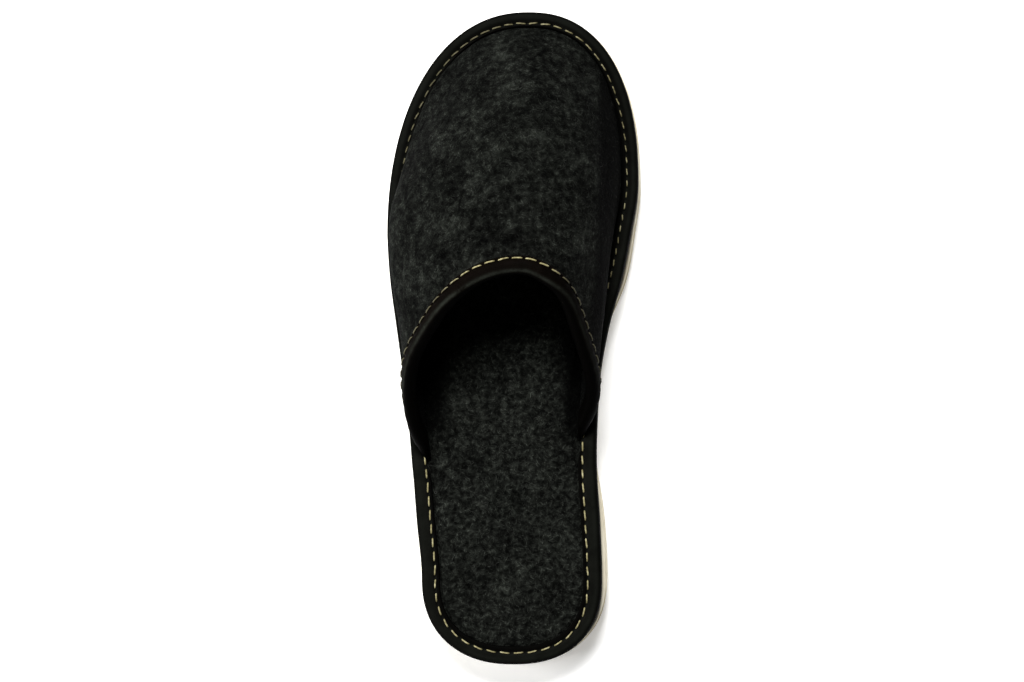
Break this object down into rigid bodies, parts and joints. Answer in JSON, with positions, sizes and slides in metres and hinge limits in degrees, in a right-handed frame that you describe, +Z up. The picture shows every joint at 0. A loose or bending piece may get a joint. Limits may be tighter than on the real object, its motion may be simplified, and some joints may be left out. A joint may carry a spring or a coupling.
{
  "type": "felt house slipper",
  "caption": "Backless felt house slipper for the left foot: hollow felt vamp, padded insole, folded edge binding and collar binding, low wedge foam sole.",
  "frame": {"origin": "middle of the overall bounding box in plan, on the floor under the sole", "axes": "+Z up, +Y towards the toe, +X towards the inner side of the foot"},
  "size_m": [0.1106, 0.282, 0.0735],
  "materials": {
    "sole_foam": "matte",
    "felt": "matte, fibrous",
    "binding": "smooth, low sheen"
  },
  "bodies": {
    "root": {"outsole": "sole_foam", "insole": "felt", "vamp": "felt", "edge_binding": "binding", "collar_binding": "binding"}
  },
  "joints": []
}
